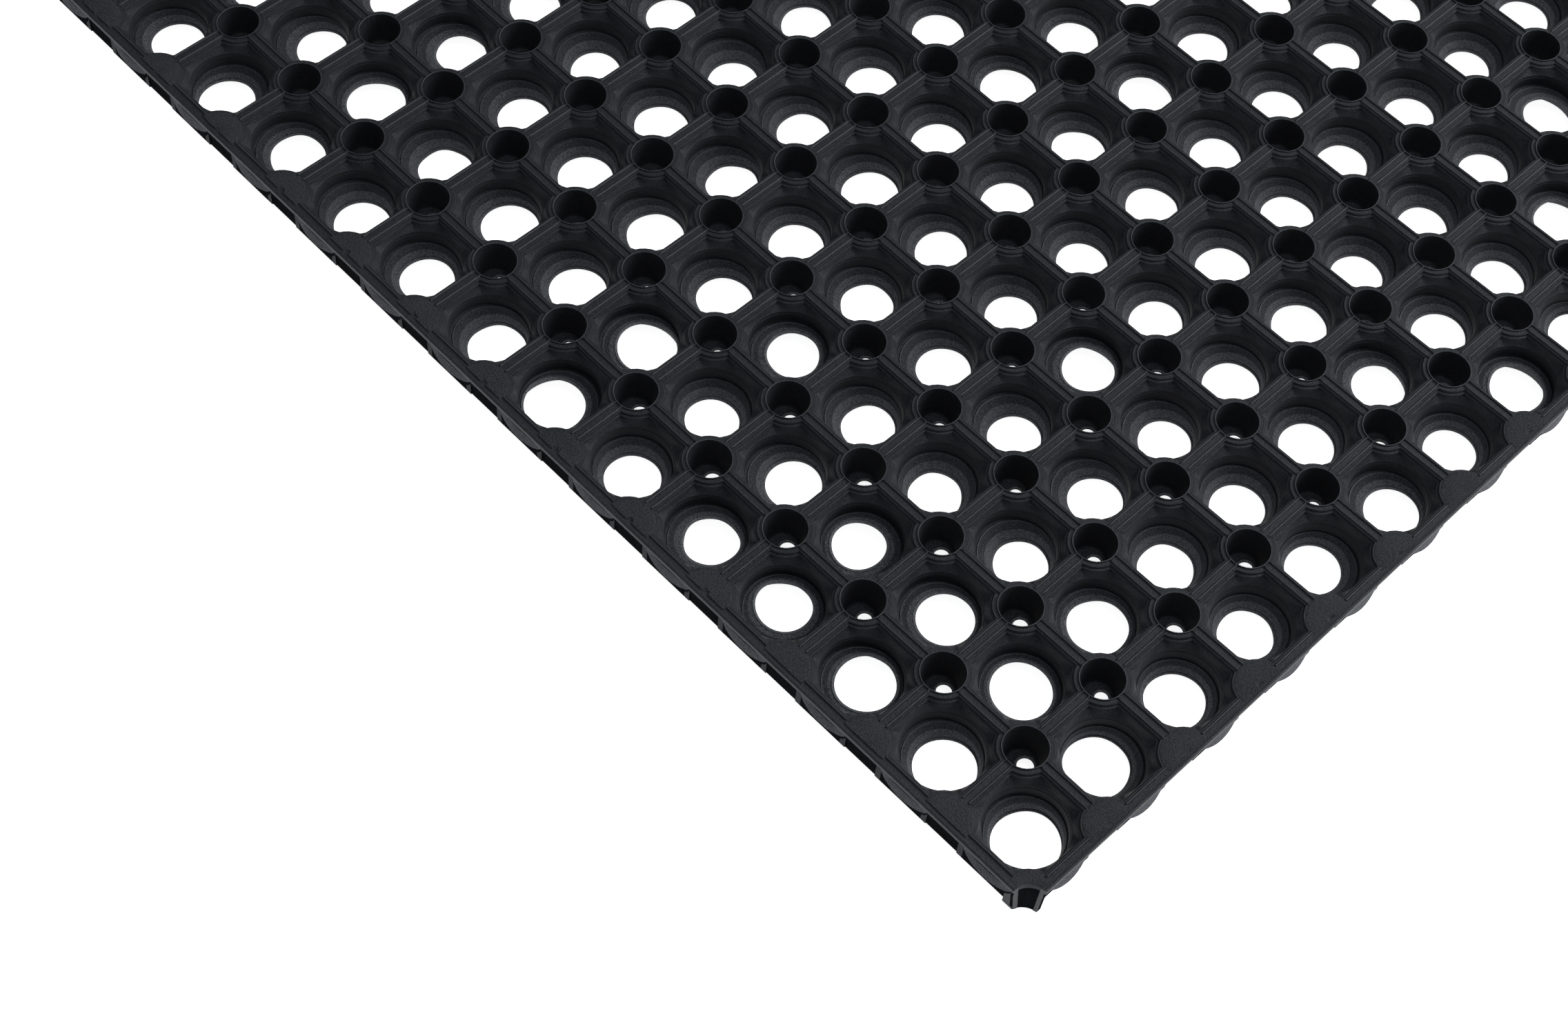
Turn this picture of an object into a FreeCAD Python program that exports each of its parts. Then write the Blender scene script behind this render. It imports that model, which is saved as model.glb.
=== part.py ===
"""Rubber hollow mat, 12 by 18 ring cells, 598 x 400 x 16 mm.

The mat is one moulding.  Its named regions are the sub-parts here: rows of ring cells, rows of
open tubes that stand on the crossings of the ribs, the outer wall with its feet, the half-round
pads that close the wall at each rib, and the notched corners.  Neighbours meet face to face.

Frame: X along the long side, Y along the short side, Z up, origin under the centre of the mat
on the floor.  Millimetres.
"""
import FreeCAD, Part
import math
import os

import Sketcher

os.makedirs("parts", exist_ok=True)
doc = FreeCAD.newDocument("rubber_hollow_mat")

# ---------------------------------------------------------------- driving dimensions
DIMENSIONS = (
    ("cells_long", "18", "ring cells along X"),
    ("cells_wide", "12", "ring cells along Y"),
    ("pitch", "33", "rib to rib"),
    ("thickness", "16", "floor to tread"),
    ("margin", "2", "tread beyond the outermost rib line"),
    ("channel", "2.5", "drainage gap under ribs and tubes"),
    ("rib_half", "3.6", "rib line to the bore of a ring cell"),
    ("drain_radius", "8", "hole in the floor of a ring cell"),
    ("drain_lip", "2.8", "height of the rim around that hole"),
    ("drain_under", "2", "height of the same rim's lower edge"),
    ("ring_wall", "2.2", "width of the round foot that stands on the floor"),
    ("dish_height", "7", "height where the dished floor meets the bore"),
    ("foot_inset", "2.3", "rib line to the round foot under a ring cell"),
    ("land", "2.1", "half width of the rib's top land"),
    ("terrace", "1.9", "drop from the tread to the terrace inside each cell"),
    ("tube_radius", "8.25", "outside of a tube, a pad and a corner"),
    ("tube_wall", "1.5", "wall of a tube"),
    ("tube_drain", "2.6", "radius of the hole under a tube"),
    ("funnel_bottom", "4.5", "height where the funnel in a tube starts"),
    ("funnel_top", "8", "height where the funnel meets the tube's bore"),
    ("rail", "2.6", "height of the continuous rail at the top of the outer wall"),
    ("wall_width", "0.8", "outer wall below the rail, beyond the outermost rib line"),
    ("ledge_reach", "1.8", "ledges on the outer wall, beyond the outermost rib line"),
    ("ledge_height", "6.5", "top of those ledges above the floor"),
    ("ledge_radius", "24", "curve of a ledge seen from above"),
    ("pad_wall", "2.05", "pad left around the half-round recess under it"),
    ("notch_radius", "6.6", "quarter-round notch about each outer corner of the tread"),
    ("cut_over", "1", "run of a cutter past the face that it leaves"),
)

BORE_RADIUS = "(mat.pitch / 2 - mat.rib_half)"
FOOT_RADIUS = "(mat.pitch / 2 - mat.foot_inset)"
UNDER_RADIUS = f"({FOOT_RADIUS} - mat.ring_wall)"
RECESS_RADIUS = "(mat.tube_radius - mat.pad_wall)"

sheet = doc.addObject("Spreadsheet::Sheet", "mat")
for row, (alias, number, meaning) in enumerate(DIMENSIONS, start=1):
    sheet.set(f"A{row}", meaning)
    sheet.set(f"B{row}", number)
    sheet.setAlias(f"B{row}", alias)
doc.recompute()

sub_parts = []


def value(expression):
    """The number that an expression of the sheet's aliases comes to."""
    return float(sheet.evalExpression(expression))


def bind(target, **expressions):
    """Tie properties of an object to the sheet."""
    for name, expression in expressions.items():
        target.setExpression(name, expression)


# ---------------------------------------------------------------- bodies, sketches, features
def new_body(label, place):
    """A body for one sub-part; place gives its X, Y and turn about Z as expressions."""
    body = doc.addObject("PartDesign::Body", label)
    body.Label = label
    body.AllowCompound = True
    across, along, turn = place
    body.setExpression("Placement.Base.x", across)
    body.setExpression("Placement.Base.y", along)
    body.Placement.Rotation = FreeCAD.Rotation(FreeCAD.Vector(0, 0, 1), turn)
    sub_parts.append(body)
    return body


def new_sketch(body, name, plane, height="0"):
    """A sketch on one of the body's own origin planes, raised along that plane's normal."""
    sketch = body.newObject("Sketcher::SketchObject", f"{body.Label}_{name}")
    support = next(item for item in body.Origin.OriginFeatures if item.Role == plane)
    sketch.AttachmentSupport = [(support, "")]
    sketch.MapMode = "FlatFace"
    sketch.setExpression("AttachmentOffset.Base.z", height)
    return sketch


def hold(sketch, geometry, point, across, along):
    """Fix one point of the sketch at its two distances from the origin."""
    for kind, expression in (("DistanceX", across), ("DistanceY", along)):
        rule = Sketcher.Constraint(kind, -1, 1, geometry, point, value(expression))
        sketch.setExpression(f"Constraints[{sketch.addConstraint(rule)}]", expression)


def add_outline(sketch, points):
    """A closed outline of straight lines through the points."""
    corners = [FreeCAD.Vector(value(across), value(along), 0) for across, along in points]
    first = sketch.GeometryCount
    count = len(points)
    for number, corner in enumerate(corners):
        sketch.addGeometry(Part.LineSegment(corner, corners[(number + 1) % count]))
    for number in range(count):
        follower = first + (number + 1) % count
        sketch.addConstraint(Sketcher.Constraint("Coincident", first + number, 2, follower, 1))
    for number, (across, along) in enumerate(points):
        hold(sketch, first + number, 1, across, along)


def add_rectangle(sketch, left, bottom, right, top):
    add_outline(sketch, ((left, bottom), (right, bottom), (right, top), (left, top)))


def add_circle(sketch, across, along, radius):
    centre = FreeCAD.Vector(value(across), value(along), 0)
    circle = sketch.addGeometry(Part.Circle(centre, FreeCAD.Vector(0, 0, 1), value(radius)))
    hold(sketch, circle, 3, across, along)
    rule = Sketcher.Constraint("Radius", circle, value(radius))
    sketch.setExpression(f"Constraints[{sketch.addConstraint(rule)}]", radius)


def add_sector(sketch, radius, first_degrees, last_degrees):
    """A pie slice about the sketch's origin, from one axis direction to another."""
    points = []
    for degrees in (first_degrees, last_degrees):
        turn = FreeCAD.Rotation(FreeCAD.Vector(0, 0, 1), degrees)
        points.append(turn.multVec(FreeCAD.Vector(value(radius), 0, 0)))
    circle = Part.Circle(FreeCAD.Vector(0, 0, 0), FreeCAD.Vector(0, 0, 1), value(radius))
    arc_ends = (math.radians(first_degrees), math.radians(last_degrees))
    arc = sketch.addGeometry(Part.ArcOfCircle(circle, *arc_ends))
    start = sketch.addGeometry(Part.LineSegment(FreeCAD.Vector(0, 0, 0), points[0]))
    end = sketch.addGeometry(Part.LineSegment(points[1], FreeCAD.Vector(0, 0, 0)))
    for line, own, other, its in ((start, 2, arc, 1), (end, 1, arc, 2), (start, 1, -1, 1), (end, 2, -1, 1)):
        sketch.addConstraint(Sketcher.Constraint("Coincident", line, own, other, its))
    for line, degrees in ((start, first_degrees), (end, last_degrees)):
        level = "Horizontal" if degrees % 180 == 0 else "Vertical"
        sketch.addConstraint(Sketcher.Constraint(level, line))
    rule = Sketcher.Constraint("Radius", arc, value(radius))
    sketch.setExpression(f"Constraints[{sketch.addConstraint(rule)}]", radius)


def add_lens(sketch, radius, reach):
    """The part of a circle beyond the sketch's X axis: a straight edge on it and an arc outside."""
    half = f"sqrt({radius} ^ 2 - ({radius} - {reach}) ^ 2)"
    middle = FreeCAD.Vector(0, value(f"{reach} - {radius}"), 0)
    slope = math.atan2(-middle.y, value(half))
    circle = Part.Circle(middle, FreeCAD.Vector(0, 0, 1), value(radius))
    arc = sketch.addGeometry(Part.ArcOfCircle(circle, slope, math.pi - slope))
    ends = [FreeCAD.Vector(side * value(half), 0, 0) for side in (-1, 1)]
    chord = sketch.addGeometry(Part.LineSegment(*ends))
    sketch.addConstraint(Sketcher.Constraint("Coincident", chord, 2, arc, 1))
    sketch.addConstraint(Sketcher.Constraint("Coincident", arc, 2, chord, 1))
    hold(sketch, chord, 1, f"-{half}", "0")
    hold(sketch, chord, 2, half, "0")
    rule = Sketcher.Constraint("Radius", arc, value(radius))
    sketch.setExpression(f"Constraints[{sketch.addConstraint(rule)}]", radius)


def pad(body, sketch, height):
    feature = body.newObject("PartDesign::Pad", f"{sketch.Name}_pad")
    feature.Profile = sketch
    bind(feature, Length=height)
    sketch.Visibility = False
    return feature


def pocket(body, sketch, depth, upward=False):
    """Cut below the sketch, or above it when upward is set."""
    feature = body.newObject("PartDesign::Pocket", f"{sketch.Name}_pocket")
    feature.Profile = sketch
    feature.Reversed = upward
    bind(feature, Length=depth)
    return feature


def turned(body, sketch, kind):
    """A revolution or a groove about the sketch's upright axis."""
    feature = body.newObject(f"PartDesign::{kind}", f"{sketch.Name}_turned")
    feature.Profile = sketch
    feature.ReferenceAxis = (sketch, ["V_Axis"])
    feature.Angle = 360
    return feature


def repeat(body, features, sketch, count, steps):
    """Repeat features along the sketch's own X, one pitch apart, and make that the body's tip."""
    pattern = body.newObject("PartDesign::LinearPattern", f"{features[0].Name}_row")
    pattern.Originals = features
    pattern.Direction = (sketch, ["H_Axis"])
    bind(pattern, Length=f"{steps} * mat.pitch", Occurrences=count)
    body.Tip = pattern
    return pattern


# ---------------------------------------------------------------- sub-parts
def ring_row(number):
    """A row of ring cells along X; the body's origin is the centre of its first cell."""
    along = f"({number} - 0.5 - mat.cells_wide / 2) * mat.pitch"
    body = new_body(f"ring_row_{number:02d}", ("(0.5 - mat.cells_long / 2) * mat.pitch", along, 0))

    web = new_sketch(body, "web", "XY_Plane", "mat.channel")
    right = "(mat.cells_long - 0.5) * mat.pitch"
    add_rectangle(web, "-mat.pitch / 2", "-mat.pitch / 2", right, "mat.pitch / 2")
    pad(body, web, "mat.thickness - mat.channel")

    foot = new_sketch(body, "foot", "XY_Plane")
    add_circle(foot, "0", "0", FOOT_RADIUS)
    foot_pad = pad(body, foot, "mat.channel")
    repeat(body, [foot_pad], foot, "mat.cells_long", "(mat.cells_long - 1)")

    seats = new_sketch(body, "tube_seats", "XY_Plane", "mat.thickness + mat.cut_over")
    for side in ("-mat.pitch / 2", "mat.pitch / 2"):
        add_circle(seats, "-mat.pitch / 2", side, "mat.tube_radius")
    seat = pocket(body, seats, "mat.thickness + 2 * mat.cut_over")
    repeat(body, [seat], seats, "mat.cells_long + 1", "mat.cells_long")

    terrace = new_sketch(body, "terrace", "XY_Plane", "mat.thickness + mat.cut_over")
    inside = "(mat.pitch / 2 - mat.land)"
    add_rectangle(terrace, f"-{inside}", f"-{inside}", inside, inside)
    terrace_cut = pocket(body, terrace, "mat.terrace + mat.cut_over")
    repeat(body, [terrace_cut], terrace, "mat.cells_long", "(mat.cells_long - 1)")

    bore = new_sketch(body, "bore", "XZ_Plane")
    add_outline(bore, (
        ("0", "-mat.cut_over"),
        (UNDER_RADIUS, "-mat.cut_over"),
        (UNDER_RADIUS, "0"),
        ("mat.drain_radius", "mat.drain_under"),
        ("mat.drain_radius", "mat.drain_lip"),
        (BORE_RADIUS, "mat.dish_height"),
        (BORE_RADIUS, "mat.thickness + mat.cut_over"),
        ("0", "mat.thickness + mat.cut_over"),
    ))
    bore_cut = turned(body, bore, "Groove")
    repeat(body, [bore_cut], bore, "mat.cells_long", "(mat.cells_long - 1)")


def tube_row(number):
    """A row of open tubes on the crossings of the ribs, each with a funnel and a drain."""
    along = f"({number} - mat.cells_wide / 2) * mat.pitch"
    body = new_body(f"tube_row_{number:02d}", ("(1 - mat.cells_long / 2) * mat.pitch", along, 0))
    wall = new_sketch(body, "wall", "XZ_Plane")
    inside = "mat.tube_radius - mat.tube_wall"
    add_outline(wall, (
        ("mat.tube_drain", "mat.channel"),
        ("mat.tube_radius", "mat.channel"),
        ("mat.tube_radius", "mat.thickness"),
        (inside, "mat.thickness"),
        (inside, "mat.funnel_top"),
        ("mat.tube_drain", "mat.funnel_bottom"),
    ))
    tube = turned(body, wall, "Revolution")
    repeat(body, [tube], wall, "mat.cells_long - 1", "(mat.cells_long - 2)")


def sides():
    """Name, turn, cells along the side, cells across the mat, and which way X and Y face out."""
    return (
        ("front", 180, "mat.cells_long", "mat.cells_wide", 0, -1),
        ("back", 0, "mat.cells_long", "mat.cells_wide", 0, 1),
        ("left", 90, "mat.cells_wide", "mat.cells_long", -1, 0),
        ("right", 270, "mat.cells_wide", "mat.cells_long", 1, 0),
    )


def side_place(side, cells_in):
    """Place of a point on a side's outermost rib line, so many cells from its first corner."""
    _, turn, cells, across, side_x, side_y = side
    half_side = f"({across} / 2 * mat.pitch)"
    inset = f"(({cells} / 2 - {cells_in}) * mat.pitch)"
    if side_x:
        return (f"{side_x} * {half_side}", f"{side_x} * {inset}", turn)
    return (f"{-side_y} * {inset}", f"{side_y} * {half_side}", turn)


def edge_wall(side):
    """Outer wall of one side: a rail, a wall under it and a lens-shaped ledge outside each cell."""
    name, cells = side[0], side[2]
    body = new_body(f"edge_wall_{name}", side_place(side, "0.5"))
    left = "-mat.pitch / 2"
    right = f"({cells} - 0.5) * mat.pitch"
    rail = new_sketch(body, "rail", "XY_Plane", "mat.thickness - mat.rail")
    add_rectangle(rail, left, "0", right, "mat.margin")
    pad(body, rail, "mat.rail")

    web = new_sketch(body, "web", "XY_Plane", "mat.channel")
    add_rectangle(web, left, "0", right, "mat.wall_width")
    pad(body, web, "mat.thickness - mat.rail - mat.channel")

    ledge = new_sketch(body, "ledge", "XY_Plane")
    add_lens(ledge, "mat.ledge_radius", "mat.ledge_reach")
    ledge_pad = pad(body, ledge, "mat.ledge_height")
    repeat(body, [ledge_pad], ledge, cells, f"({cells} - 1)")

    notch = new_sketch(body, "notches", "XY_Plane", "mat.thickness + mat.cut_over")
    add_circle(notch, f"{left} - mat.margin", "mat.margin", "mat.notch_radius")
    add_circle(notch, f"{right} + mat.margin", "mat.margin", "mat.notch_radius")
    body.Tip = pocket(body, notch, "mat.thickness + 2 * mat.cut_over")


def edge_pads(side):
    """Half-round pads that close the wall at each rib, hollow underneath."""
    name, cells = side[0], side[2]
    body = new_body(f"edge_pads_{name}", side_place(side, "1"))
    outline = new_sketch(body, "pad", "XY_Plane", "mat.channel")
    add_sector(outline, "mat.tube_radius", 180, 360)
    block = pad(body, outline, "mat.thickness - mat.channel")
    hollow = new_sketch(body, "recess", "XY_Plane", "mat.thickness - mat.rail")
    add_circle(hollow, "0", "0", RECESS_RADIUS)
    recess = pocket(body, hollow, "mat.thickness")
    repeat(body, [block, recess], outline, f"{cells} - 1", f"({cells} - 2)")


def corner(name, side_x, side_y, turn):
    """Quarter-round corner, standing on the floor, with the notch that lets it bend."""
    place = (f"{side_x} * mat.cells_long / 2 * mat.pitch", f"{side_y} * mat.cells_wide / 2 * mat.pitch", turn)
    body = new_body(f"corner_{name}", place)
    outline = new_sketch(body, "block", "XY_Plane")
    add_sector(outline, "mat.tube_radius", 0, 90)
    pad(body, outline, "mat.thickness")
    notch = new_sketch(body, "notch", "XY_Plane", "mat.thickness + mat.cut_over")
    add_circle(notch, "-mat.margin", "-mat.margin", "mat.notch_radius")
    pocket(body, notch, "mat.thickness + 2 * mat.cut_over")


for row_number in range(1, int(value("mat.cells_wide")) + 1):
    ring_row(row_number)
for row_number in range(1, int(value("mat.cells_wide"))):
    tube_row(row_number)
for one_side in sides():
    edge_wall(one_side)
    edge_pads(one_side)
corner("front_left", -1, -1, 0)
corner("front_right", 1, -1, 90)
corner("back_right", 1, 1, 180)
corner("back_left", -1, 1, 270)

# ---------------------------------------------------------------- check and write
doc.recompute()
for item in doc.Objects:
    if "Invalid" in item.State or "Error" in item.State:
        raise RuntimeError(f"{item.Name} failed: {item.State}")
for sub_part in sub_parts:
    shape = sub_part.Shape
    if shape.isNull() or not shape.isValid() or not shape.Solids:
        raise RuntimeError(f"{sub_part.Label} has no valid solid")
for sub_part in sub_parts:
    sub_part.Shape.exportStep(f"parts/{sub_part.Label}.step")
    print(f"{sub_part.Label}: {len(sub_part.Shape.Solids)} solids, {sub_part.Shape.Volume:.0f} mm3")
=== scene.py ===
"""Looks of the rubber hollow mat: every region of the moulding as a detailed mesh.

Lengths inside this script are millimetres in the row frame (X along the long side, Y along the
short side, Z up from the floor); they turn into metres when a mesh is made.
"""
import math

import bmesh
import bpy
import numpy as np
from mathutils import Euler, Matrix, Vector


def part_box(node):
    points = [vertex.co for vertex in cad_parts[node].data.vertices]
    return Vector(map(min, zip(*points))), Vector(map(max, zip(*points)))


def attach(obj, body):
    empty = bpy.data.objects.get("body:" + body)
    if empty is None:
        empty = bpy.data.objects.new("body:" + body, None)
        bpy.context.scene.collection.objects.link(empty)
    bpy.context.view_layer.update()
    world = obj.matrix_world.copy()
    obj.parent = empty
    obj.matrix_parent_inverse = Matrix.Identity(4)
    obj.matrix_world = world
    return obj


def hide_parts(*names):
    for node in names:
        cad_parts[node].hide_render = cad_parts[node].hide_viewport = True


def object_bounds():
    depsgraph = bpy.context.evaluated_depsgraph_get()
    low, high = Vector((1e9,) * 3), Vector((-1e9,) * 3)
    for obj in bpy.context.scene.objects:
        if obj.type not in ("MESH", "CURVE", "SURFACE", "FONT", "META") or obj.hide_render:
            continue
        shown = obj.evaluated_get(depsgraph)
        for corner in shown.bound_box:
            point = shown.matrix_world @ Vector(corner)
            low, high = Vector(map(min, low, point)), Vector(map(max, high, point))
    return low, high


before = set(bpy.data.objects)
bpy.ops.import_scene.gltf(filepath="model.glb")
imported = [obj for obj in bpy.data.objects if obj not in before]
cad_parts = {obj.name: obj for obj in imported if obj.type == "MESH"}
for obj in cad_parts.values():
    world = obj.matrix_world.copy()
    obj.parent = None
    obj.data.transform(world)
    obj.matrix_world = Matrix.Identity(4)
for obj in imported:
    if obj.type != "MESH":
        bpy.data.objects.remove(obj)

CAD_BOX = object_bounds()
MM = 0.001

# ---------------------------------------------------------------- sizes read from the frame
ROWS = sorted(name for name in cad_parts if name.startswith("ring_row_"))
TUBE_ROWS = sorted(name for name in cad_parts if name.startswith("tube_row_"))


def node_box(name):
    """Lowest and highest corner of a CAD node in millimetres."""
    low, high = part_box(name)
    return np.array(low) / MM, np.array(high) / MM


ROW_LOW, ROW_HIGH = node_box(ROWS[0])
TUBE_LOW, TUBE_HIGH = node_box(TUBE_ROWS[0])
WALL_LOW, WALL_HIGH = node_box("edge_wall_front")
PITCH = ROW_HIGH[1] - ROW_LOW[1]
HALF = PITCH / 2
TOP = ROW_HIGH[2]
CELLS_WIDE = len(ROWS)
CELLS_LONG = round((ROW_HIGH[0] - ROW_LOW[0]) / PITCH)
SEAT = (TUBE_HIGH[1] - TUBE_LOW[1]) / 2
CHANNEL = TUBE_LOW[2]
MARGIN = WALL_HIGH[1] - WALL_LOW[1]
LATTICE_X = ROW_LOW[0]
LATTICE_Y = ROW_LOW[1]

# ---------------------------------------------------------------- finer sizes of the moulding
GROOVE = 0.55  # depth of the land below the two thin ridges of a rib
# half of a rib's top, as (distance from its middle line, drop below the ridges)
RIDGE = ((0.0, GROOVE), (0.9, GROOVE), (1.1, 0.12), (1.3, 0.0), (1.5, 0.12), (1.75, GROOVE))
BORE_RADIUS = 12.98
DISH_RIM = 7.0  # height of the dished skin where it meets the bore
FOOT_OUTER = 14.2
FOOT_INNER = 13.1
DRAIN_ROOM = 11.7  # the circle of a drain stays within this radius of the cell's middle
TUBE_LIP = 6.98
TUBE_FLOOR = 4.7
TUBE_DRAIN = 2.35
RECESS = 6.2  # radius of the hollow under a pad
RAIL = 2.6
NOTCH = 6.6
LEDGE_HALF = 9.3  # half the length of a lens-shaped ledge on the outer wall
LEDGE_TOP = 10.3  # height where a ledge leaves the wall
CORNER_WALL = 1.3  # how far the wall stands out beside a corner
LOWER_SHIFT = np.array([1.4, 1.1])  # the lower half of the mould sits a little off the upper half
SWAY_X = (-0.11, 0.61, -0.43, -0.70, 0.40, -0.42, 0.88)  # sizes of the waves in X and in Y, fitted
SWAY_Y = (-0.23, -0.12, 0.21, -0.08, 0.68, -0.56, 0.21)  # to the bend of the ribs in the photo
SIDE_STEPS = 8  # mesh steps along a rib
ARC_STEPS = 6  # mesh steps around a quarter of a tube
RANDOM = np.random.default_rng(7)

TREAD, WALL, DISH, EDGE_HIGHLIGHT, RIM, PALE_PAINTED_LIGHT, BORE = range(7)  # material slots of every piece; the edge, rim and pale slots are lighter tones that paint highlights and glow, the wall and bore slots darker tones that paint shade


def polar(radius, angle):
    return radius * np.cos(angle), radius * np.sin(angle)


# ---------------------------------------------------------------- welding and mesh making
def loft(loops, closed_across=True, closed_along=False):
    """Vertices and quads between rows of points; each row has the same number of points."""
    grid = np.array(loops, float)
    rows, points, _ = grid.shape
    across = np.arange(points if closed_across else points - 1)
    along = np.arange(rows if closed_along else rows - 1)
    low, here = np.meshgrid(along, across, indexing="ij")
    high, there = (low + 1) % rows, (here + 1) % points
    quads = np.stack([low * points + here, low * points + there,
                      high * points + there, high * points + here], axis=-1)
    return grid.reshape(-1, 3), quads.reshape(-1, 4)


def weld(parts, grain=1e-3):
    """One vertex list and face list from several lofts: equal points become one, faces that
    shrink to a line go, and two faces on the same points, back to back, both go."""
    points, quads, tags, start = [], [], [], 0
    for vertices, faces, tag in parts:
        points.append(vertices)
        quads.append(faces + start)
        tags.append(np.full(len(faces), tag) if np.isscalar(tag) else tag)
        start += len(vertices)
    points, quads, tags = np.vstack(points), np.vstack(quads), np.concatenate(tags)
    _, first, same = np.unique(np.round(points / grain).astype(np.int64), axis=0,
                               return_index=True, return_inverse=True)
    quads = same.reshape(-1)[quads]
    points = points[first]
    follows = np.roll(quads, -1, axis=1)
    repeats = (quads == follows).sum(axis=1)
    crossed = (quads[:, 0] == quads[:, 2]) | (quads[:, 1] == quads[:, 3])
    whole = (repeats < 2) & ~crossed
    quads, tags, repeats = quads[whole], tags[whole], repeats[whole]
    key = np.sort(quads, axis=1)
    _, group, count = np.unique(key, axis=0, return_inverse=True, return_counts=True)
    single = count[group.reshape(-1)] == 1
    quads, tags, repeats = quads[single], tags[single], repeats[single]
    faces = []
    for quad, repeat in zip(quads.tolist(), repeats.tolist()):
        if repeat:
            quad = [corner for n, corner in enumerate(quad) if corner != quad[n - 1]]
        faces.append(quad)
    return points, faces, tags


def sway(points):
    """The slight waviness of a limp moulding, the same for every piece at the same place."""
    x, y = points[:, 0], points[:, 1]
    waves = np.stack([np.ones(len(x)), np.sin(x / 70), np.cos(x / 70), np.sin(y / 90), np.cos(y / 90),
                      np.sin((x - y) / 100), np.cos((x - y) / 100)])
    moved = points.copy()
    moved[:, 0] += np.array(SWAY_X) @ waves
    moved[:, 1] += np.array(SWAY_Y) @ waves
    return moved


def make_piece(name, parts, nodes, materials, smooth_degrees=32):
    """A closed mesh object that stands for the named CAD nodes."""
    points, faces, tags = weld(parts)
    mesh = bpy.data.meshes.new(name)
    mesh.from_pydata((sway(points) * MM).tolist(), [], faces)
    for material in materials:
        mesh.materials.append(material)
    mesh.polygons.foreach_set("material_index", tags.astype(np.int32))
    work = bmesh.new()
    work.from_mesh(mesh)
    bmesh.ops.delete(work, geom=[v for v in work.verts if not v.link_faces], context="VERTS")
    open_edges = [edge for edge in work.edges if edge.is_boundary]
    if open_edges:
        bmesh.ops.holes_fill(work, edges=open_edges)
    bmesh.ops.recalc_face_normals(work, faces=work.faces)
    work.to_mesh(mesh)
    work.free()
    mesh.polygons.foreach_set("use_smooth", np.ones(len(mesh.polygons), bool))
    mesh.set_sharp_from_angle(angle=math.radians(smooth_degrees))
    mesh.update()
    piece = bpy.data.objects.new(name, mesh)
    bpy.context.scene.collection.objects.link(piece)
    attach(piece, "root")
    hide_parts(*nodes)
    return piece


# ---------------------------------------------------------------- outlines around a cell
def seat_angles(lateral, radius):
    """Angles along the quarter arc between two ribs, measured from the first rib: the ridge
    offsets of both ribs and even steps between; none nearer to a rib than lateral."""
    near = [math.asin(offset / SEAT) for offset, _ in RIDGE]
    far = [math.pi / 2 - angle for angle in reversed(near)]
    middle = list(np.linspace(near[-1], far[0], ARC_STEPS + 1))[1:-1]
    first = math.asin(lateral / radius)
    return [min(max(angle, first), math.pi / 2 - first) for angle in near + middle + far]


def ring_outline(lateral, radius, height):
    """Closed outline inside a cell: straight at lateral from each rib, rounded about the tubes."""
    start = HALF - math.sqrt(radius ** 2 - lateral ** 2)
    points = []
    for quarter in range(4):
        turn = quarter * math.pi / 2
        side = [(HALF - lateral, y) for y in np.linspace(-start, start, SIDE_STEPS + 1)[:-1]]
        arc = [(HALF - radius * math.sin(a), HALF - radius * math.cos(a))
               for a in seat_angles(lateral, radius)[:-1]]
        for x, y in side + arc:
            points.append((x * math.cos(turn) - y * math.sin(turn),
                           x * math.sin(turn) + y * math.cos(turn), height))
    return points


def ring_circle(radius, height, centre=(0, 0), waves=()):
    """A circle with the same points as ring_outline, about a centre that may be off the middle."""
    outline = ring_outline(RIDGE[-1][0], SEAT, 0)
    points = []
    for x, y, _ in outline:
        angle = math.atan2(y, x)
        local = radius + sum(size * math.cos(count * angle + phase) for count, size, phase in waves)
        points.append((centre[0] + local * math.cos(angle), centre[1] + local * math.sin(angle), height))
    return points
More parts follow.
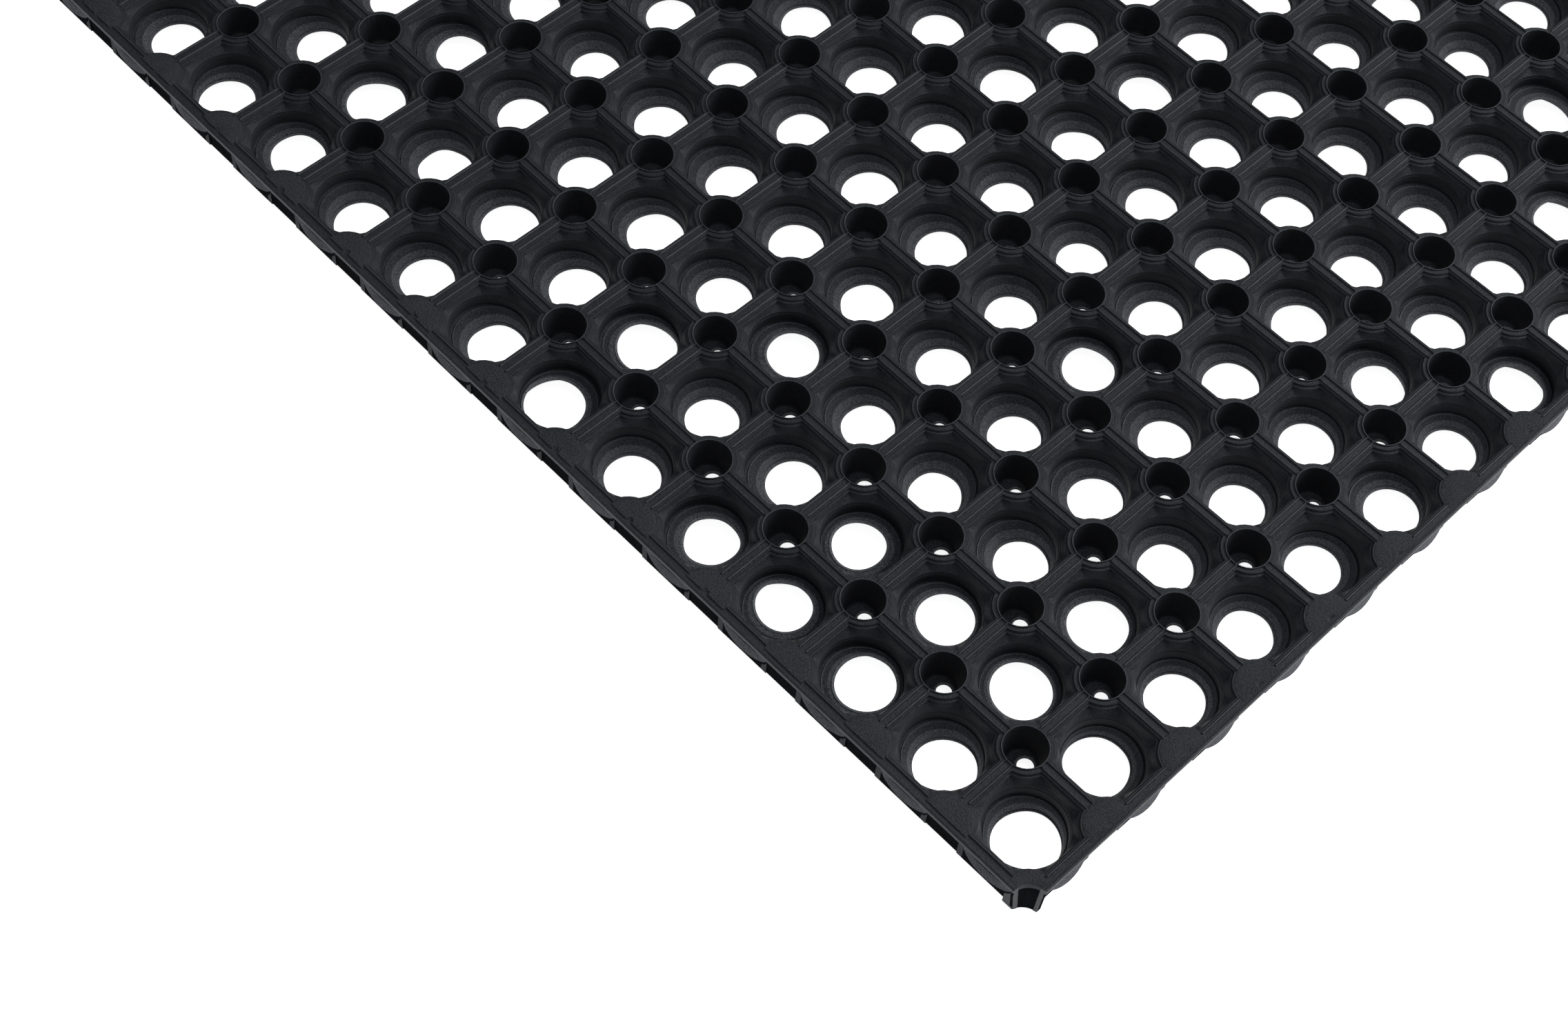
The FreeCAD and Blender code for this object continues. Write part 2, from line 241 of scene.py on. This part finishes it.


# Drains by row from the front and by cell inwards from the right side: radius, height of the skin
# around the hole, and how far the hole is off the cell's middle in X and Y. A separate program
# fitted these numbers to the far arc of each hole, and they were then made larger.
DRAINS = {
    0: {0: (10.3, 2.2, 1.6, 0.4), 1: (9.6, 2.2, 2, 0.2), 2: (9.2, 7, 1.2, 0.8), 3: (8.5, 7, -0.6, 1.1),
        4: (8.3, 6.4, 1.4, 0.8), 5: (8.8, 2.2, 0.5, -0.1), 6: (9.6, 6.8, -0.4, -1.8),
        7: (9.2, 2.2, 2.4, 0.7), 8: (8.7, 3.8, 1.7, 0.7), 9: (9.1, 2.2, 2.7, 0), 10: (9, 4.8, 1.7, 0.7),
        11: (9.1, 4, 0.2, -1.9)},
    1: {0: (9.9, 3.2, -1.2, -0.3), 1: (9.5, 6.6, 0.6, 0.2), 2: (8.9, 6.8, 1.8, 0.9),
        3: (8.3, 7, -0.7, -0.3), 4: (8.8, 4, 2.4, 1.6), 5: (8.4, 2.2, 0.8, -0.2), 6: (9.3, 7, 2.1, 1.1),
        7: (9.1, 2.8, 2.2, 1.3), 8: (9.2, 3.6, 2.7, 1.8), 9: (8.8, 2.2, 3.3, 1.5),
        10: (9.6, 6, 1.3, 0.3)},
    2: {0: (9.3, 3, 0, 0.2), 1: (9.3, 5.6, 1.1, 0.6), 2: (8.5, 2.2, 2.5, 0.9), 3: (8.4, 2.2, 0.5, -0.7),
        4: (8.5, 2.6, 2.1, 1.4), 5: (8.4, 6.8, 1.4, 0.8), 6: (8.8, 3, 2.3, 1.2), 7: (9.1, 3.6, 3.1, 1.9),
        8: (8.9, 2.6, 1.7, 0.5), 9: (8.8, 2.2, 2.5, 1.6), 10: (8.3, 5.8, 3.3, 2.8)},
    3: {0: (8.6, 3, -0.3, 0), 1: (8.7, 2.2, 0.5, 0), 2: (8.6, 3.2, 2.6, 1.4), 3: (8.6, 2.2, 2.4, 0),
        4: (8.6, 3.4, 2.5, 1.4), 5: (8.6, 3, 1.4, 0.8), 6: (9.1, 2.2, 1.8, 0.6), 7: (8.4, 3, 2.9, 1.7),
        8: (9, 2.4, 1.9, 0.8), 9: (8.6, 2.2, 2.5, 0.1)},
    4: {0: (8.8, 3.4, -1.1, -0.1), 1: (8.8, 2.2, 1.1, 0), 2: (8.5, 2.4, 2.5, 1.2), 3: (8.5, 7, 1.6, 1.1),
        4: (8.5, 2.2, 2.1, 0.2), 5: (8.6, 3, 1.9, 1.2), 6: (9.5, 2.2, 3.1, 1.4), 7: (8.9, 2.8, 2.5, 1.3),
        8: (8.6, 2.2, 3, -0.7)},
    5: {0: (8.8, 4.4, 2.6, 0.7), 1: (9, 3.2, 1.3, 0.4), 2: (9.3, 2.2, 3, 0.8), 3: (9, 2.2, 2.3, 0.9),
        4: (8.8, 2.2, 3, 0.1), 5: (9.1, 2.2, 2, -0.6), 6: (9.4, 2.2, 2.5, -0.1), 7: (9, 2.2, 3, 0.4)},
    6: {0: (8.6, 3.2, 0.7, 0.2), 1: (8.7, 5.6, 3.8, 1.3), 2: (9.1, 4.2, 3.4, 1.2),
        3: (9.1, 2.2, 3.6, 1.3), 4: (8.8, 3, 3.2, 1.5), 5: (8.9, 2.4, 2.4, 1), 6: (9.5, 4, 2.2, 1)},
    7: {0: (8.9, 7, 1, 0.3), 1: (9.1, 3, 3.3, 0.9), 2: (8.9, 2.2, 1.4, -0.8), 3: (8.9, 2.2, 2.3, 0.8),
        4: (8.9, 2.6, 2.7, 1.1), 5: (9.1, 5, 3, 1.2)},
    8: {1: (9.1, 2.2, 1.6, 0.4), 2: (8.6, 2.2, 2.8, -0.6), 3: (8.8, 2.2, 0.1, -0.7),
        4: (9, 2.2, 2.8, 0.5)},
    9: {2: (8.6, 2.4, 2, 0.5), 3: (8.4, 2.6, 1.6, 0.5), 4: (8.3, 2.6, 1.4, 0.4)},
    10: {3: (8.5, 2.2, 1.4, -0.5)},
}


def drain_of(column, row):
    """Radius, height and offset of a cell's drain, and the waves of its edge; each was trimmed by
    hand, so no two are the same. A cell that isn't in the table takes what was drawn for it."""
    waves = [(count, RANDOM.normal(0, 0.3 / count), RANDOM.uniform(0, 2 * math.pi)) for count in (2, 3, 5)]
    place = np.clip(LOWER_SHIFT + RANDOM.normal(0, 0.9, 2), -1, 3)
    radius, low = RANDOM.normal(8.8, 0.25), RANDOM.choice([2.2, 2.4, 2.8, 3.0, 3.4, 6.4])
    inwards = CELLS_LONG - 1 - column
    if inwards in DRAINS.get(row, ()):
        radius, low, *place = DRAINS[row][inwards]
        place = np.array(place)
    room = DRAIN_ROOM - radius
    return radius, low, place * min(1, room / np.hypot(*place)), waves


def ring_cell(drain, low, place, waves):
    """Loops of one ring cell, each with its material: from the rib line inwards over the terraces,
    down the bore, over the dished skin to the drain, and out again below."""
    # the crest of each ridge takes the lighter edge tone, a painted highlight
    loops = [(ring_outline(lateral, SEAT, TOP - drop), EDGE_HIGHLIGHT if 1 < lateral < 1.4 else TREAD)
             for lateral, drop in RIDGE]
    loops += [
        (ring_outline(2.1, 8.45, TOP - 0.5), TREAD),
        (ring_outline(2.25, 8.62, TOP - 0.66), TREAD),
        (ring_outline(2.36, 8.76, TOP - 1.25), TREAD),
        (ring_outline(2.5, 8.92, TOP - 1.4), TREAD),
        (ring_outline(2.78, 9.28, TOP - 1.42), TREAD),
        (ring_outline(2.9, 9.42, TOP - 1.56), TREAD),
        (ring_outline(2.98, 9.54, TOP - 2.15), TREAD),
        (ring_outline(3.08, 9.68, TOP - 2.3), TREAD),
        (ring_outline(3.12, 9.74, TOP - 2.5), TREAD),
        (ring_circle(13.15, TOP - 3.9), TREAD),
        # the next four loops, the bore wall, take the darker bore tone, painted shade
        (ring_circle(BORE_RADIUS, TOP - 4.1), BORE),
        (ring_circle(12.9, TOP - 4.9), BORE),
        (ring_circle(12.72, TOP - 5.1), BORE),
        (ring_circle(12.62, DISH_RIM + 0.5), BORE),
        (ring_circle(12.45, DISH_RIM + 0.1, place * 0.1), DISH),
        # the next two loops, the bead round the dish, take the lighter edge tone, a painted highlight
        (ring_circle(12.2, DISH_RIM, place * 0.15), EDGE_HIGHLIGHT),
        (ring_circle(12.05, DISH_RIM + 0.25, place * 0.2), EDGE_HIGHLIGHT),
        (ring_circle(11.85, DISH_RIM + 0.22, place * 0.25), DISH),
        (ring_circle(11.65, DISH_RIM - 0.1, place * 0.35), DISH),
        # the next two loops, the dished skin near the drain, take the pale tone: painted halo of light
        # round the hole
        (ring_circle(0.3 * drain + 8.0, 0.3 * low + 0.7 * DISH_RIM, place * 0.6, waves[:1]), PALE_PAINTED_LIGHT),
        (ring_circle(0.7 * drain + 3.3, 0.7 * low + 0.3 * DISH_RIM + 0.2, place * 0.85, waves), PALE_PAINTED_LIGHT),
        # the bead round the drain takes the near-white rim tone, painted glow of the floor light
        (ring_circle(drain + 0.8, low + 0.4, place, waves), RIM),
        (ring_circle(drain + 0.15, low + 0.3, place, waves), RIM),
        (ring_circle(drain, low + 0.18, place, waves), RIM),
        # this loop and the next two, down the drain and under the skin, take the pale tone: painted light
        # from the bright floor below
        (ring_circle(drain + 0.02, low, place, waves), PALE_PAINTED_LIGHT),
        (ring_circle(0.5 * drain + 6.1, 0.85 * low - 0.4, place * 0.5), PALE_PAINTED_LIGHT),
        (ring_circle(12.9, 0.75 * low - 0.6), PALE_PAINTED_LIGHT),
        # the foot and the underside take the dark wall tone, painted shade
        (ring_circle(FOOT_INNER, 0.3), WALL),
        (ring_circle(FOOT_INNER + 0.2, 0.0), WALL),
        (ring_circle(FOOT_OUTER - 0.3, 0.0), WALL),
        (ring_circle(FOOT_OUTER, 0.3), WALL),
        (ring_circle(FOOT_OUTER, CHANNEL), WALL),
        (ring_outline(0, SEAT, CHANNEL), WALL),
    ]
    return loops


def ring_row(row, materials):
    """A row of ring cells, welded to one another."""
    parts = []
    for column in range(CELLS_LONG):
        loops = ring_cell(*drain_of(column, row))
        vertices, quads = loft([points for points, _ in loops], closed_along=True)
        per_loop = len(loops[0][0])
        tags = np.repeat([tag for _, tag in loops], per_loop)
        centre = (LATTICE_X + (column + 0.5) * PITCH, LATTICE_Y + (row + 0.5) * PITCH, 0)
        parts.append((vertices + centre, quads, tags))
    return make_piece(f"rings_{row + 1:02d}", parts, [ROWS[row]], materials)


# ---------------------------------------------------------------- tubes
def seat_stations(quarters):
    """(angle, drop) along the seat circle from the first rib over so many quarters; the drop is
    how far the tread is below the ridges there."""
    drops = [drop for _, drop in RIDGE]
    around = drops + [GROOVE] * (ARC_STEPS - 1) + drops[::-1]
    stations = []
    for quarter in range(quarters):
        for angle, drop in list(zip(seat_angles(0, SEAT), around))[:-1]:
            stations.append((quarter * math.pi / 2 + angle, drop))
    return stations


def tube(drain):
    """Loops of one tube: land, thin raised lip, bore, floor with its drain, and the flat underside."""
    stations = seat_stations(4)

    def level(radius, height, centre=(0, 0)):
        return [(*(polar(radius, angle) + np.array(centre)), height) for angle, _ in stations]

    def land(radius, lower=0.0):
        return [(*polar(radius, angle), TOP - max(drop, lower)) for angle, drop in stations]

    return [
        (land(SEAT), TREAD), (land(7.45), TREAD), (land(7.3, 0.1), TREAD),
        # the lip takes the lighter edge tone, a painted highlight
        (level(7.15, TOP - 0.03), EDGE_HIGHLIGHT), (level(TUBE_LIP, TOP), EDGE_HIGHLIGHT), (level(6.84, TOP - 0.12), BORE),
        # the tube's bore takes the darker bore tone, painted shade
        (level(6.74, TOP - 0.7), BORE), (level(6.35, 10.0), BORE), (level(5.5, TUBE_FLOOR + 1.2), BORE),
        (level(5.0, TUBE_FLOOR + 0.3), TREAD), (level(4.6, TUBE_FLOOR), DISH),
        # the bead round the tube's drain takes the near-white rim tone, painted glow of the floor light
        (level(drain + 0.6, TUBE_FLOOR - 0.2, LOWER_SHIFT * 0.8), RIM),
        (level(drain, TUBE_FLOOR - 0.4, LOWER_SHIFT * 0.8), WALL),
        (level(drain + 0.05, TUBE_FLOOR - 0.9, LOWER_SHIFT * 0.8), WALL),
        (level(drain + 1.6, CHANNEL, LOWER_SHIFT * 0.4), WALL), (level(SEAT, CHANNEL), WALL),
    ]


def tube_row(row, materials):
    """A row of tubes, each a closed body of its own."""
    parts = []
    for column in range(1, CELLS_LONG):
        loops = tube(TUBE_DRAIN + RANDOM.uniform(-0.3, 0.3))
        vertices, quads = loft([points for points, _ in loops], closed_along=True)
        tags = np.repeat([tag for _, tag in loops], len(loops[0][0]))
        centre = (LATTICE_X + column * PITCH, LATTICE_Y + (row + 1) * PITCH, 0)
        parts.append((vertices + centre, quads, tags))
    return make_piece(f"tubes_{row + 1:02d}", parts, [TUBE_ROWS[row]], materials)


# ---------------------------------------------------------------- the four sides
class Side:
    """One side of the mat: along runs from its first corner node, out points away from it.
    Reach is how far its ledges stand out and how high their edge is, wall is how far the wall
    stands out, and undercut is how far the wall draws in down to the floor."""

    def __init__(self, name, start, along, out, cells, reach, wall, undercut):
        self.name, self.cells = name, cells
        self.reach, self.wall, self.undercut = reach, wall, undercut
        self.start = np.array(start, float)
        self.along = np.array(along, float)
        self.out = np.array(out, float)

    def place(self, points):
        """Points given as (along, out, up) in the row frame."""
        local = np.asarray(points, float)
        flat = self.start + local[:, :1] * self.along + local[:, 1:2] * self.out
        return np.column_stack([flat, local[:, 2]])


SIDES = (
    Side("front", (LATTICE_X, LATTICE_Y), (1, 0), (0, -1), CELLS_LONG, (1.5, 6.8), 0.2, 1.4),
    Side("right", (-LATTICE_X, LATTICE_Y), (0, 1), (1, 0), CELLS_WIDE, (1.5, 3.4), -0.5, 0.2),
    Side("back", (-LATTICE_X, -LATTICE_Y), (-1, 0), (0, 1), CELLS_LONG, (1.7, 4.5), -0.4, 0.5),
    Side("left", (LATTICE_X, -LATTICE_Y), (0, -1), (-1, 0), CELLS_WIDE, (1.5, 5.5), 0.0, 0.9),
)


PLAIN = -1  # the wall beside a corner, where there is no ledge


def wall_section(side, lens):
    """Closed cross-section of the outer wall as (out, up): rail, wall, ledge and foot; lens is the
    share of the ledge's full reach there, 0 between cells and 1 in the middle of a cell."""
    under = TOP - RAIL
    reach, edge = side.reach
    share = max(lens, 0)
    wall = CORNER_WALL if lens == PLAIN else side.wall
    ledge = wall + (reach - wall) * share
    edge = LEDGE_TOP - (LEDGE_TOP - edge) * share ** 0.4
    foot = wall - side.undercut
    inner = foot - 1.2
    return [
        (0.0, TOP - GROOVE), (0.9, TOP - GROOVE), (1.3, TOP - 0.42), (1.6, TOP - 0.5), (1.85, TOP - 0.7),
        (MARGIN - 0.05, TOP - 1.1), (MARGIN - 0.1, under + 0.4), (MARGIN - 0.4, under + 0.05),
        (max(0.7, wall), under - 0.1), (wall, under - 0.6), (wall, 10.7),
        (wall + 0.3 * (ledge - wall), 10.5 - 0.12 * (10.5 - edge)),
        (ledge - 0.06 * share, edge + 0.05 + 0.2 * share), (ledge, edge),
        (0.4 * ledge + 0.6 * foot, 0.5 * edge),
        (foot, 0.35), (foot - 0.25, 0.0), (inner, 0.0), (inner, 2.0), (0.0, under),
    ]


# the two ledge faces take the pale tone, a painted highlight on the lens-shaped ledges; the wall faces take
# the dark wall tone, painted shade
WALL_TAGS = (TREAD,) * 7 + (WALL,) * 4 + (PALE_PAINTED_LIGHT,) * 2 + (WALL,) * 7
PLAIN_TAGS = (TREAD,) * 7 + (WALL,) * 13


def edge_wall(side, materials):
    """Lofted along the side; the wall's ends follow the notch of each corner."""
    slide = float(LOWER_SHIFT @ side.along) * 0.7
    length = side.cells * PITCH
    stations = [(0.0, PLAIN), (6.0, PLAIN)]
    for cell in range(side.cells):
        middle = (cell + 0.5) * PITCH + slide
        for step in np.sin(np.linspace(-1, 1, 17) * math.pi / 2) * LEDGE_HALF:
            stations.append((middle + step, max(0.0, 1 - (step / LEDGE_HALF) ** 2)))
    stations += [(length - 5.5, PLAIN), (length, PLAIN)]
    loops = []
    for where, lens in stations:
        section = []
        for out, up in wall_section(side, lens):
            end = math.sqrt(NOTCH ** 2 - (MARGIN - out) ** 2) - MARGIN
            section.append((min(max(where, end), length - end), out, up))
        loops.append(side.place(section))
    vertices, quads = loft(loops)
    tags = [tag for (_, before), (_, after) in zip(stations, stations[1:])
            for tag in (WALL_TAGS if max(before, after) > 0 else PLAIN_TAGS)]
    return make_piece(f"wall_{side.name}", [(vertices, quads, np.array(tags))], [f"edge_wall_{side.name}"],
                      materials)


def edge_pads(side, materials):
    """Half-round pads on the side's rib line, hollow underneath."""
    stations = seat_stations(2) + [(math.pi, GROOVE)]
    parts = []
    for number in range(1, side.cells):
        dimple = RANDOM.choice([0.0, 0.25, 0.5])

        def level(radius, height):
            return [(radius * math.cos(a), -radius * math.sin(a), height) for a, _ in stations]

        rim = [(SEAT * math.cos(a), -SEAT * math.sin(a), TOP - drop) for a, drop in stations]
        loops = [
            (level(0.0, TOP - 0.2 - dimple), DISH), (level(0.7, TOP - 0.2 - dimple), DISH),
            (level(1.5, TOP - 0.15), DISH), (level(4.5, TOP - 0.2), DISH), (level(7.4, TOP - 0.3), DISH),
            (level(7.9, TOP - 0.42), TREAD), (rim, TREAD), (level(SEAT, CHANNEL), WALL),
            # the hollow under the pad takes the dark wall tone, painted shade
            (level(RECESS, CHANNEL), WALL), (level(RECESS, TOP - RAIL - 0.8), WALL),
            (level(RECESS - 0.8, TOP - RAIL), WALL), (level(0.0, TOP - RAIL), WALL),
        ]
        vertices, quads = loft([points for points, _ in loops], closed_across=False)
        tags = np.repeat([tag for _, tag in loops[:-1]], len(stations) - 1)
        vertices[:, 0] += number * PITCH
        parts.append((side.place(vertices), quads, tags))
    return make_piece(f"pads_{side.name}", parts, [f"edge_pads_{side.name}"], materials)


def corner_piece(side, materials):
    """The notched corner where a side starts."""
    stations = seat_stations(1) + [(math.pi / 2, GROOVE)]
    first = math.asin(MARGIN / NOTCH)
    sweep = np.linspace(first, math.pi / 2 - first, len(stations))
    outer = np.array([polar(SEAT, angle) for angle, _ in stations])
    drops = np.array([drop for _, drop in stations])
    inner = np.array([polar(NOTCH, angle) for angle in sweep]) - MARGIN

    def level(share, height):
        flat = outer + (inner - outer) * share
        return np.column_stack([flat[:, 0], -flat[:, 1], np.broadcast_to(height, len(flat))])

    loops = [
        (level(0.0, TOP - drops), TREAD), (level(0.12, TOP - 0.5), TREAD), (level(0.72, TOP - 0.5), TREAD),
        (level(0.86, TOP - 0.8), TREAD), (level(1.0, TOP - 2.0), WALL), (level(1.0, 0.3), WALL),
        (level(0.93, 0.0), WALL), (level(0.0, 0.0), WALL),
    ]
    vertices, quads = loft([points for points, _ in loops], closed_across=False, closed_along=True)
    tags = np.repeat([tag for _, tag in loops], len(stations) - 1)
    name = CORNER_OF[side.name]
    return make_piece(f"notch_{name}", [(side.place(vertices), quads, tags)], [f"corner_{name}"], materials)


CORNER_OF = {"front": "front_left", "right": "front_right", "back": "back_right", "left": "back_left"}


# ---------------------------------------------------------------- materials
def rubber(name, colour, roughness, sheen, relief_size, contrast):
    """Matt moulded rubber: fine grain, pale specks of bloom and a dull sheen."""
    material = bpy.data.materials.new(name)
    material.use_nodes = True
    tree = material.node_tree
    shader = tree.nodes["Principled BSDF"]
    shader.inputs["Specular IOR Level"].default_value = sheen
    place = tree.nodes.new("ShaderNodeTexCoord")

    def noise(scale, detail, rough=0.6):
        node = tree.nodes.new("ShaderNodeTexNoise")
        node.inputs["Scale"].default_value = scale
        node.inputs["Detail"].default_value = detail
        node.inputs["Roughness"].default_value = rough
        tree.links.new(place.outputs["Object"], node.inputs["Vector"])
        return node.outputs["Fac"]

    def maths(operation, first, second, third=None):
        node = tree.nodes.new("ShaderNodeMath")
        node.operation = operation
        for socket, given in zip(node.inputs, (first, second, third)):
            if isinstance(given, (int, float)):
                socket.default_value = given
            elif given is not None:
                tree.links.new(given, socket)
        return node.outputs["Value"]

    patches, specks, grain = noise(60, 3), noise(1900, 2, 0.6), noise(4200, 2, 0.7)
    coarse = maths("MULTIPLY_ADD", specks, 1.0, maths("MULTIPLY", patches, 0.25))
    mixed = maths("MULTIPLY_ADD", grain, 0.5, coarse)
    ramp = tree.nodes.new("ShaderNodeValToRGB")
    ramp.color_ramp.elements[0].position = 0.70
    ramp.color_ramp.elements[1].position = 1.02
    for element, level in zip(ramp.color_ramp.elements, (1 - contrast, 1 + 1.6 * contrast)):
        element.color = (*(channel * level for channel in colour), 1)
    tree.links.new(mixed, ramp.inputs["Fac"])
    tree.links.new(ramp.outputs["Color"], shader.inputs["Base Color"])
    tree.links.new(maths("MULTIPLY_ADD", specks, 0.3, roughness - 0.15), shader.inputs["Roughness"])

    bump = tree.nodes.new("ShaderNodeBump")
    bump.inputs["Strength"].default_value = 1.0
    bump.inputs["Distance"].default_value = relief_size
    tree.links.new(maths("MULTIPLY_ADD", specks, 1.6, grain), bump.inputs["Height"])
    tree.links.new(bump.outputs["Normal"], shader.inputs["Normal"])
    return material


# ---------------------------------------------------------------- build the mat
RUBBER = (
    rubber("rubber_tread", (0.0078, 0.0090, 0.0122), 0.52, 0.28, 0.00014, 0.45),
    # darker tone without sheen on the outer walls, hollows and undersides: painted shade
    rubber("rubber_wall_painted_shade", (0.0056, 0.0060, 0.0070), 0.85, 0.0, 0.00012, 0.4),
    rubber("rubber_matt", (0.0175, 0.0187, 0.0232), 0.75, 0.20, 0.00024, 0.55),
    # lighter tone on ridge crests, the bead round the dish and the tube lips: painted highlight lines
    rubber("rubber_edge_painted_highlight", (0.021, 0.023, 0.028), 0.50, 0.35, 0.00010, 0.4),
    # near-white tone on the bead round each drain: painted glow of the bright floor light round the hole
    rubber("rubber_rim_painted_glow", (0.070, 0.0725, 0.080), 0.75, 0.30, 0.00020, 0.4),
    # lighter tone that paints the halo of back light and floor light round the drains, the floor light on
    # the undersides and the highlight on the wall's ledges
    rubber("rubber_pale_painted_light", (0.044, 0.046, 0.053), 0.75, 0.25, 0.00024, 0.5),
    # tone darker than the tread on the bore walls of cells and tubes: painted shade in the holes
    rubber("rubber_bore_painted_shade", (0.0070, 0.0078, 0.0100), 0.65, 0.20, 0.00014, 0.4),
)
for number in range(CELLS_WIDE):
    ring_row(number, RUBBER)
for number in range(CELLS_WIDE - 1):
    tube_row(number, RUBBER)
for one_side in SIDES:
    edge_wall(one_side, RUBBER)
    edge_pads(one_side, RUBBER)
    corner_piece(one_side, RUBBER)


# ---------------------------------------------------------------- floor, light, camera
def studio():
    """A white table that glows a little, as under a light tent, and wide soft lights."""
    work = bmesh.new()
    bmesh.ops.create_grid(work, x_segments=1, y_segments=1, size=4.0)
    mesh = bpy.data.meshes.new("floor")
    work.to_mesh(mesh)
    work.free()
    floor = bpy.data.objects.new("floor", mesh)
    floor.location.z = -0.0002
    bpy.context.scene.collection.objects.link(floor)
    material = bpy.data.materials.new("white_table")
    material.use_nodes = True
    shader = material.node_tree.nodes["Principled BSDF"]
    shader.inputs["Base Color"].default_value = (0.9, 0.9, 0.9, 1)
    shader.inputs["Roughness"].default_value = 0.9
    shader.inputs["Emission Color"].default_value = (1, 1, 1, 1)
    shader.inputs["Emission Strength"].default_value = 0.9
    mesh.materials.append(material)

    world = bpy.data.worlds.new("tent")
    world.use_nodes = True
    world.node_tree.nodes["Background"].inputs["Color"].default_value = (0.97, 0.98, 1.0, 1)
    world.node_tree.nodes["Background"].inputs["Strength"].default_value = 0.32
    bpy.context.scene.world = world

    for name, place, turn, size, power in (
        ("back", (0.95, 1.15, 0.95), (-55, 0, -38), 1.0, 31),
        ("top", (0.5, 0.1, 1.8), (0, 12, 0), 0.8, 8),
    ):
        lamp = bpy.data.lights.new(name, "AREA")
        lamp.shape = "SQUARE"
        lamp.size = size
        lamp.energy = power
        holder = bpy.data.objects.new(name, lamp)
        holder.location = place
        holder.rotation_euler = Euler([math.radians(angle) for angle in turn])
        bpy.context.scene.collection.objects.link(holder)


def camera():
    """Above the mat's front right corner, looking across it."""
    corner = (CAD_BOX[1][0], CAD_BOX[0][1], CAD_BOX[1][2])
    beyond_corner = (0.1378, -0.2853, 0.6842)
    tilt, roll, heading = 31.61, -3.52, 46.16
    lens = bpy.data.cameras.new("camera")
    lens.sensor_width = 36
    lens.lens = 61.5
    lens.clip_start = 0.01
    holder = bpy.data.objects.new("camera", lens)
    holder.location = [near + offset for near, offset in zip(corner, beyond_corner)]
    holder.rotation_euler = Euler([math.radians(angle) for angle in (tilt, roll, heading)])
    bpy.context.scene.collection.objects.link(holder)
    bpy.context.scene.camera = holder


studio()
camera()
bpy.context.scene.view_settings.view_transform = "Standard"
